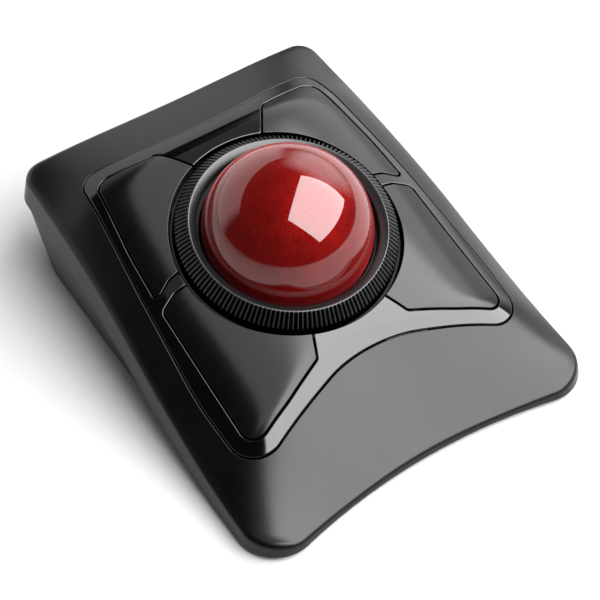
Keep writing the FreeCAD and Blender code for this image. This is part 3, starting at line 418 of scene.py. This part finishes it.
class Skin:
    """The points, normals and faces of a closed mesh as it is built up."""

    def __init__(self):
        self.verts = []
        self.normals = []
        self.faces = []

    def add(self, x, y, z, normal):
        self.verts.append((x, y, z))
        self.normals.append(Vector(normal))
        return len(self.verts) - 1

    def plan(self, row):
        return [Vector(self.verts[k][:2]) for k in row]

    def strips(self, rows):
        """Four-sided faces between each closed row of points and the next."""
        for low, high in zip(rows, rows[1:]):
            for k in range(len(low)):
                j = (k + 1) % len(low)
                self.faces.append((low[k], low[j], high[j], high[k]))

    def rim(self, loop, roll, depth, steps=5):
        """The wall of a plate along a loop, rolled over on to the face: its lowest and highest row."""
        rows = []
        for level in range(steps + 2):
            angle = max(level - 1, 0) / steps * math.pi / 2
            shift = roll * (1 - math.cos(angle))
            drop = roll * (1 - math.sin(angle)) if level else depth
            row = []
            for point, side in zip(loop, inward(loop)):
                spot = point + side * shift
                up = face_normal(spot.x, spot.y)
                out = Vector((-side.x, -side.y, 0)).normalized()
                out = (out - up * up.dot(out)).normalized()
                height = face_height(spot.x, spot.y) - drop
                row.append(self.add(spot.x, spot.y, height, up * math.sin(angle) + out * math.cos(angle)))
            rows.append(row)
        self.strips(rows)
        return rows[0], rows[-1]

    def cover(self, tops, feet, depth, grid):
        """The face inside the first row and outside the others, and the underside at a depth below."""
        loops = [self.plan(row) for row in tops]
        points, triangles = fill(loops[0], loops[1:], grid)
        over = [k for row in tops for k in row]
        under = [k for row in feet for k in row]
        for point in points[len(over):]:
            height = face_height(point.x, point.y)
            over.append(self.add(point.x, point.y, height, face_normal(point.x, point.y)))
            under.append(self.add(point.x, point.y, height - depth, (0, 0, -1)))
        for triangle in triangles:
            self.faces.append(tuple(over[k] for k in triangle))
            self.faces.append(tuple(under[k] for k in reversed(triangle)))


def plate(name, outer, holes, roll, material, body, node):
    """A plate that follows the face, with rolled edges."""
    skin = Skin()
    loops = [anticlockwise(outer)] + [list(reversed(anticlockwise(hole))) for hole in holes]
    rims = [skin.rim(loop, roll, FACE_PLATE) for loop in loops]
    skin.cover([top for _, top in rims], [foot for foot, _ in rims], FACE_PLATE, 1.6)
    piece(name, skin.verts, skin.faces, material, body, skin.normals, [node])


# ---------------------------------------------------------------- materials

class Shader:
    """A node tree built a node at a time."""

    def __init__(self, name):
        self.material = bpy.data.materials.new(name)
        self.material.use_nodes = True
        self.tree = self.material.node_tree
        self.main = self.tree.nodes["Principled BSDF"]
        self.place = self.tree.nodes.new("ShaderNodeTexCoord").outputs["Object"]

    def node(self, kind, **settings):
        made = self.tree.nodes.new(kind)
        for key, value in settings.items():
            setattr(made, key, value)
        return made

    def feed(self, value, socket):
        """Link a node's output to a socket, or set the socket to a plain value."""
        if isinstance(value, bpy.types.NodeSocket):
            self.tree.links.new(value, socket)
        else:
            socket.default_value = value

    def noise(self, scale, detail, roughness=0.55):
        made = self.node("ShaderNodeTexNoise")
        made.inputs["Scale"].default_value = scale
        made.inputs["Detail"].default_value = detail
        made.inputs["Roughness"].default_value = roughness
        self.feed(self.place, made.inputs["Vector"])
        return made.outputs["Fac"]

    def remap(self, value, low, high, to_low, to_high):
        made = self.node("ShaderNodeMapRange")
        made.inputs["From Min"].default_value = low
        made.inputs["From Max"].default_value = high
        made.inputs["To Min"].default_value = to_low
        made.inputs["To Max"].default_value = to_high
        self.feed(value, made.inputs["Value"])
        return made.outputs["Result"]

    def mix(self, factor, first, second):
        made = self.node("ShaderNodeMix", data_type="RGBA")
        colour_a, colour_b = (socket for socket in made.inputs if socket.type == "RGBA")
        self.feed(factor, made.inputs["Factor"])
        self.feed(first, colour_a)
        self.feed(second, colour_b)
        return next(socket for socket in made.outputs if socket.type == "RGBA")

    def bump(self, height, strength, distance):
        made = self.node("ShaderNodeBump")
        made.inputs["Strength"].default_value = strength
        made.inputs["Distance"].default_value = distance
        self.feed(height, made.inputs["Height"])
        return made.outputs["Normal"]


def plastic(name, colour, roughness, grain=0.0, grain_scale=6000.0, spread=0.06, ior=1.5):
    """Moulded plastic: a mottled colour, uneven gloss and a fine grain."""
    s = Shader(name)
    cloud = s.noise(60.0, 4.0, 0.6)
    fine = s.noise(900.0, 2.0, 0.5)
    light = [c * 1.25 for c in colour] + [1.0]
    dark = [c * 0.8 for c in colour] + [1.0]
    s.feed(s.mix(s.remap(cloud, 0.3, 0.7, 0.0, 1.0), dark, light), s.main.inputs["Base Color"])
    uneven = s.node("ShaderNodeMath", operation="ADD")
    s.feed(s.remap(cloud, 0.25, 0.75, roughness - spread / 2, roughness + spread / 2), uneven.inputs[0])
    s.feed(s.remap(fine, 0.3, 0.7, -spread / 4, spread / 4), uneven.inputs[1])
    s.feed(uneven.outputs[0], s.main.inputs["Roughness"])
    s.main.inputs["IOR"].default_value = ior
    if grain:
        cells = s.node("ShaderNodeTexVoronoi")
        cells.inputs["Scale"].default_value = grain_scale
        s.feed(s.place, cells.inputs["Vector"])
        both = s.node("ShaderNodeMath", operation="ADD")
        s.feed(cells.outputs["Distance"], both.inputs[0])
        s.feed(s.noise(grain_scale * 0.7, 2.0), both.inputs[1])
        s.feed(s.bump(both.outputs[0], grain, 0.00004), s.main.inputs["Normal"])
    return s.material


def ruby():
    """The ball: deep red resin full of fine pearl flakes under a polished clear surface."""
    s = Shader("ruby_resin")
    flakes = s.node("ShaderNodeTexVoronoi")
    flakes.inputs["Scale"].default_value = 4500.0
    s.feed(s.place, flakes.inputs["Vector"])
    grey = s.node("ShaderNodeSeparateColor")
    s.feed(flakes.outputs["Color"], grey.inputs[0])
    cloud = s.noise(140.0, 5.0, 0.62)
    dark = (0.062, 0.0007, 0.0008, 1)
    light = (0.110, 0.0022, 0.0020, 1)
    pearl = (0.23, 0.010, 0.005, 1)
    deep = s.mix(s.remap(cloud, 0.3, 0.7, 0.0, 1.0), dark, light)
    sparkle = s.remap(grey.outputs[0], 0.5, 1.0, 0.0, 0.35)
    s.feed(s.mix(sparkle, deep, pearl), s.main.inputs["Base Color"])
    s.main.inputs["Metallic"].default_value = 0.4
    s.main.inputs["Specular IOR Level"].default_value = 0.0
    s.feed(s.remap(grey.outputs[1], 0.0, 1.0, 0.36, 0.52), s.main.inputs["Roughness"])
    s.main.inputs["Sheen Weight"].default_value = 0.22
    s.main.inputs["Sheen Roughness"].default_value = 0.4
    s.main.inputs["Sheen Tint"].default_value = (1.0, 0.06, 0.07, 1)
    s.main.inputs["Coat Weight"].default_value = 1.0
    s.main.inputs["Coat Roughness"].default_value = 0.015
    s.main.inputs["Coat IOR"].default_value = 1.55
    s.feed(s.bump(grey.outputs[2], 0.12, 0.00003), s.main.inputs["Normal"])
    return s.material


def metal(name, colour, roughness):
    """Brushed bare metal."""
    s = Shader(name)
    brushed = s.noise(700.0, 3.0, 0.6)
    dark = [c * 0.8 for c in colour] + [1]
    light = list(colour) + [1]
    s.feed(s.mix(s.remap(brushed, 0.3, 0.7, 0.0, 1.0), dark, light), s.main.inputs["Base Color"])
    s.feed(s.remap(brushed, 0.3, 0.7, roughness - 0.06, roughness + 0.06), s.main.inputs["Roughness"])
    s.main.inputs["Metallic"].default_value = 1.0
    return s.material


SHELL = plastic("soft_touch_black", (0.0006, 0.0006, 0.0009), 0.31, grain=0.05, ior=1.36)
PANEL = plastic("piano_black", (0.0005, 0.0005, 0.0006), 0.07, spread=0.01)
BUTTON = plastic("button_satin", (0.0008, 0.0008, 0.0011), 0.18, grain=0.04, spread=0.02, ior=1.33)
RING = plastic("ring_satin", (0.005, 0.005, 0.0054), 0.34, grain=0.04, spread=0.03, ior=1.55)
# Painted shade for the ring's grooves and skirt: near black, rough and without any gloss (IOR 1), so they
# stay dark under every light.
RING_PAINTED_SHADE = plastic("ring_grooves_painted_shade", (0.0008, 0.0008, 0.0009), 0.75, grain=0.1, ior=1.0)
BASE = plastic("base_matt", (0.031, 0.031, 0.032), 0.50, grain=0.2)
DARK = plastic("dark_nylon", (0.004, 0.004, 0.004), 0.62, grain=0.2, ior=1.35)
BALL = ruby()
SMALL = {
    "support_bearings": plastic("ceramic", (0.75, 0.72, 0.66), 0.12),
    "sensor_lens": plastic("clear_lens", (0.6, 0.62, 0.66), 0.05),
    "rubber_feet": plastic("rubber", (0.02, 0.02, 0.021), 0.7, grain=0.6, grain_scale=1500.0),
    "battery_front": plastic("cell_wrap", (0.05, 0.13, 0.06), 0.3),
    "battery_rear": plastic("cell_wrap_two", (0.05, 0.13, 0.06), 0.3),
    "power_slider": plastic("slider_grey", (0.35, 0.35, 0.35), 0.4, grain=0.2),
    "pairing_button": plastic("button_grey", (0.35, 0.35, 0.35), 0.4, grain=0.2),
    "sensor_ribbon": plastic("polyimide", (0.35, 0.18, 0.04), 0.25),
    "ring_glide": plastic("glide_white", (0.7, 0.7, 0.68), 0.4),
}
BOARD = plastic("lacquered_board", (0.008, 0.07, 0.025), 0.28, spread=0.1)
STEEL = metal("bright_steel", (0.62, 0.62, 0.61), 0.28)
WORDS = [("board", BOARD), ("screw", STEEL), ("pin_", STEEL), ("contact", STEEL), ("springs", STEEL),
         ("retainer", STEEL), ("radio_module", STEEL), ("base_shell", BASE), ("door", BASE)]


def material_of(node):
    """A CAD node's material: its own, or the one that a word in its name calls for."""
    if node in SMALL:
        return SMALL[node]
    for word, material in WORDS:
        if word in node:
            return material
    return DARK


for node_name, node_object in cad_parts.items():
    chosen = material_of(node_name)
    for place in node_object.material_slots:
        place.material = chosen

# ---------------------------------------------------------------- face: trim panel and buttons

BUTTONS = {
    "button_rear_left": REAR_BUTTON_LEFT,
    "button_rear_right": mirrored(REAR_BUTTON_LEFT),
    "button_front_left": FRONT_BUTTON_LEFT,
    "button_front_right": mirrored(FRONT_BUTTON_LEFT),
}

trim_outline = offset(anticlockwise(panel_outline()), SEAM_GAP)
plate("trim_panel_gloss", trim_outline, [panel_hole()], EDGE_ROLL, PANEL, "housing", "trim_panel")
for button, corners in BUTTONS.items():
    plate(button + "_cap", button_outline(corners), [], CAP_ROLL, BUTTON, button, button)


# ---------------------------------------------------------------- top shell

def wall_column(skin, point, side):
    """The housing's side at one place: underside, inner wall, lip, leaning wall and rolled edge."""
    # Climb the leaning wall to where it meets the face.
    height = 20.0
    for _ in range(12):
        spot = point + side * (WALL_LEAN * height)
        height = face_height(spot.x, spot.y)
    corner = Vector((WALL_LEAN * height, height))
    ahead = point + side * (corner.x + 1.0)
    down = Vector((-WALL_LEAN, -1.0)).normalized()
    flat = Vector((1.0, face_height(ahead.x, ahead.y) - height)).normalized()
    half = down.angle(flat) / 2
    reach = EDGE_ROUND / math.tan(half)
    start = corner + down * reach
    centre = corner + (down + flat).normalized() * (EDGE_ROUND / math.sin(half))
    sweep = (start - centre).angle_signed(corner + flat * reach - centre)
    last = point + side * (corner + flat * (reach + 2.0)).x
    top = face_height(last.x, last.y)
    level = min(parting_height(point.y + side.y * WALL_LEAN * height), start.y - 0.6)
    foot = WALL_LEAN * level
    column = [skin.add(last.x, last.y, top - SHELL_PLATE, (0, 0, -1))]

    def put(spot, direction):
        place = point + side * spot.x
        normal = (side.x * direction.x, side.y * direction.x, direction.y)
        column.append(skin.add(place.x, place.y, spot.y, normal))

    put(Vector((foot + SHELL_WALL, level)), Vector((1.0, -0.3)))
    put(Vector((foot + LIP_BREAK, level)), Vector((0.0, -1.0)))
    put(Vector((foot + 0.08, level + 0.1)), Vector((-0.7, -0.7)))
    wall_out = Vector((-1.0, WALL_LEAN)).normalized()
    bottom = level + LIP_BREAK
    for k in range(WALL_STEPS):
        z = bottom + (start.y - bottom) * k / WALL_STEPS
        put(Vector((WALL_LEAN * z, z)), wall_out)
    for k in range(EDGE_STEPS + 1):
        spoke = Matrix.Rotation(-sweep * k / EDGE_STEPS, 2) @ (start - centre)
        put(centre + spoke, spoke.normalized())
    column.append(skin.add(last.x, last.y, top, face_normal(last.x, last.y)))
    return column


def top_shell():
    """The upper housing: its side all round, its rolled edge at the seam, and the face between them."""
    skin = Skin()
    outer = anticlockwise(rounded(housing_corners(), 1.4))
    columns = [wall_column(skin, point, side.normalized()) for point, side in zip(outer, inward(outer))]
    rows = [list(row) for row in zip(*columns)]
    skin.strips(rows)
    seam_foot, seam_top = skin.rim(list(reversed(anticlockwise(panel_outline()))), EDGE_ROLL, SHELL_PLATE)
    skin.cover([rows[-1], seam_top], [rows[0], seam_foot], SHELL_PLATE, 1.5)
    piece("top_shell_moulded", skin.verts, skin.faces, SHELL, "housing", skin.normals, ["top_shell"])


top_shell()


# ---------------------------------------------------------------- ball and ring

def ball():
    """The ball, from a finely divided cube blown out to a sphere."""
    made = bmesh.new()
    bmesh.ops.create_cube(made, size=2.0)
    bmesh.ops.subdivide_edges(made, edges=made.edges, cuts=47, use_grid_fill=True)
    for vert in made.verts:
        vert.co = FACE @ (vert.co.normalized() * BALL_RADIUS)
    verts = [tuple(vert.co) for vert in made.verts]
    faces = [tuple(vert.index for vert in face.verts) for face in made.faces]
    made.free()
    centre = FACE @ Vector((0, 0, 0))
    normals = [Vector(v) - centre for v in verts]
    piece("trackball_polished", verts, faces, BALL, "ball", normals, ["trackball"])


ball()

# The ring's section, from its inner foot up over the lip and crest and down to its skirt. The third
# number says how deep the knurl cuts there.
RING_SECTION = [
    (29.05, 0.5, 0.0), (29.0, 2.2, 0.0), (29.1, 2.6, 0.0), (29.35, 2.85, 0.0), (30.2, 3.35, 0.0),
    (31.2, 3.95, 0.0), (31.6, 4.12, 0.0), (31.85, 4.1, 0.0), (32.05, 3.95, 0.15), (32.25, 3.8, 0.7),
    (32.5, 3.6, 1.25), (33.4, 2.8, 1.35), (34.6, 1.65, 1.35), (35.4, 0.75, 1.3), (35.75, 0.2, 1.2),
    (35.85, -0.2, 1.0), (35.85, -0.7, 0.8), (35.8, -1.6, 0.5), (35.7, -2.4, 0.0), (35.7, -7.5, 0.0),
]

# The knurl is cut square to the slope. What is cut deeper than DEEP, or lies below SKIRT_TOP, gets
# painted
# shade: a near-black, dull material without gloss, darker than the ring's own plastic.
TEETH = 146
STEPS_PER_TOOTH = 10
LEAN_OUT = 0.58
LEAN_UP = 0.81
DEEP = 0.4
SKIRT_TOP = -0.1


def tooth_depth(step):
    """How far down the groove between two teeth a step round the ring lies, from 0 to 1."""
    wave = 0.5 - 0.5 * math.cos(2 * math.pi * (step % STEPS_PER_TOOTH) / STEPS_PER_TOOTH)
    return min(1.0, max(0.0, (wave - 0.2) / 0.2))


def ring():
    """The scroll ring: its section turned round the ball, with the knurl cut square to its slope."""
    turns = TEETH * STEPS_PER_TOOTH
    depths = [tooth_depth(k) for k in range(turns)]
    verts = []
    for k in range(turns):
        angle = 2 * math.pi * k / turns
        for radius, height, depth in RING_SECTION:
            r = radius - depth * depths[k] * LEAN_OUT
            z = height - depth * depths[k] * LEAN_UP
            verts.append(FACE @ Vector((r * math.cos(angle), r * math.sin(angle), z)))
    rows = len(RING_SECTION)
    faces = []
    for k in range(turns):
        for j in range(rows):
            here = k * rows
            following = (k + 1) % turns * rows
            above = (j + 1) % rows
            faces.append((here + j, here + above, following + above, following + j))
    obj = piece("scroll_ring_knurled", verts, faces, RING, "ring", None, ["scroll_ring"])
    # The deep grooves and the skirt below SKIRT_TOP get the painted-shade material.
    obj.data.materials.append(RING_PAINTED_SHADE)
    for polygon in obj.data.polygons:
        k, j = divmod(polygon.index, rows)
        groove = min(depths[k], depths[(k + 1) % turns])
        cut = min(RING_SECTION[j][2], RING_SECTION[(j + 1) % rows][2])
        if groove * cut > DEEP or RING_SECTION[j][1] < SKIRT_TOP:
            polygon.material_index = 1


ring()

# ---------------------------------------------------------------- stage, light and camera

def floor():
    """A plain pale floor, 12 metres square."""
    mesh = bpy.data.meshes.new("floor")
    corners = [(x * 6.0, y * 6.0, 0) for x, y in ((-1, -1), (1, -1), (1, 1), (-1, 1))]
    mesh.from_pydata(corners, [], [(0, 1, 2, 3)])
    obj = bpy.data.objects.new("floor", mesh)
    bpy.context.scene.collection.objects.link(obj)
    s = Shader("pale_floor")
    s.main.inputs["Base Color"].default_value = (0.38, 0.38, 0.38, 1)
    s.main.inputs["Roughness"].default_value = 0.7
    mesh.materials.append(s.material)


def light_only(light, names):
    """Keep a fill light to the named pieces, as a studio flag would."""
    light.light_linking.receiver_collection = bpy.data.collections.new(light.name + "_lights")
    for name in names:
        light.light_linking.receiver_collection.objects.link(bpy.data.objects[name])


def feather(data, shares):
    """Let a light panel fall off towards its edges, over a share of its width and of its height."""
    data.use_nodes = True
    tree = data.node_tree
    emission = tree.nodes["Emission"]
    place = tree.nodes.new("ShaderNodeNewGeometry")
    split = tree.nodes.new("ShaderNodeSeparateXYZ")
    tree.links.new(place.outputs["Parametric"], split.inputs[0])
    strength = None
    for axis, share in enumerate(shares):
        if not share:
            continue
        for low, high in ((0.0, share), (1.0, 1.0 - share)):
            ramp = tree.nodes.new("ShaderNodeMapRange")
            ramp.interpolation_type = "SMOOTHSTEP"
            ramp.inputs["From Min"].default_value = low
            ramp.inputs["From Max"].default_value = high
            tree.links.new(split.outputs[axis], ramp.inputs["Value"])
            if strength is None:
                strength = ramp.outputs[0]
                continue
            product = tree.nodes.new("ShaderNodeMath")
            product.operation = "MULTIPLY"
            tree.links.new(strength, product.inputs[0])
            tree.links.new(ramp.outputs[0], product.inputs[1])
            strength = product.outputs[0]
    tree.links.new(strength, emission.inputs["Strength"])


def panel_light(name, centre, across, upward, width, height, radiance, soft_edges=()):
    """A soft rectangular light of a given brightness, whose face looks towards the object."""
    data = bpy.data.lights.new(name, "AREA")
    data.shape = "RECTANGLE"
    data.size = width
    data.size_y = height
    data.energy = radiance * math.pi * width * height
    obj = bpy.data.objects.new(name, data)
    bpy.context.scene.collection.objects.link(obj)
    x = Vector(across).normalized()
    z = x.cross(Vector(upward)).normalized()
    if z.dot(Vector(centre)) < 0:
        z.negate()
    y = z.cross(x)
    obj.matrix_world = Matrix.Translation(centre) @ Matrix((x, y, z)).transposed().to_4x4()
    obj.visible_camera = False
    if soft_edges:
        feather(data, soft_edges)
    return obj


# Across and upward are the directions of a panel's two sides, and sizes are in metres.
floor()
panel_light("softbox", centre=(0.465, -0.415, 0.819), across=(0.722, 0.690, -0.06),
            upward=(-0.502, 0.620, 0.604), width=1.45, height=1.16, radiance=11.0)
scrim = panel_light("scrim", centre=(1.201, 0.523, 1.5), across=(0.91, -0.42, 0.0),
                    upward=(0.42, 0.91, 0.0), width=2.6, height=3.1, radiance=2.95)
light_only(scrim, [button + "_cap" for button in BUTTONS])
ceiling = panel_light("ceiling", centre=(0.63, 0.19, 1.5), across=(0.844, 0.536, 0.0),
                      upward=(-0.536, 0.844, 0.0), width=2.4, height=1.6, radiance=0.45)
light_only(ceiling, ["trim_panel_gloss", "top_shell_moulded", "floor"])
panel_light("back_card", centre=(-0.078, 0.872, 0.29), across=(0.946, 0.326, 0.0),
            upward=(0.0, 0.0, 1.0), width=2.0, height=0.68, radiance=1.28, soft_edges=(0.2, 0.0))
panel_light("right_card", centre=(1.05, 0.53, 0.55), across=(0.375, -0.927, 0.0),
            upward=(-0.39, -0.16, 0.91), width=1.7, height=1.5, radiance=2.6, soft_edges=(0.35, 0.35))

world = bpy.data.worlds.new("studio")
world.use_nodes = True
world.node_tree.nodes["Background"].inputs[0].default_value = (0.55, 0.56, 0.58, 1)
world.node_tree.nodes["Background"].inputs[1].default_value = 0.07
bpy.context.scene.world = world

# The camera stands at the front left, above the object.
camera_data = bpy.data.cameras.new("camera")
camera_data.lens = 103.23
camera_data.sensor_width = 36.0
camera_data.shift_x = 0.0033
camera_data.shift_y = 0.0003
camera_data.clip_start = 0.01
camera_data.clip_end = 50.0
camera = bpy.data.objects.new("camera", camera_data)
bpy.context.scene.collection.objects.link(camera)
eye = Vector((-0.2029, -0.2987 - SET_FORWARD * MM, 0.4408))
target = Vector((-0.02234, -0.03408 - SET_FORWARD * MM, 0.0564))
look = (target - eye).normalized()
side = look.cross(Vector((0, 0, 1))).normalized()
turned = Matrix((side, side.cross(look), -look)).transposed().to_4x4()
camera.matrix_world = Matrix.Translation(eye) @ turned
bpy.context.scene.camera = camera
bpy.context.scene.view_settings.view_transform = "Standard"
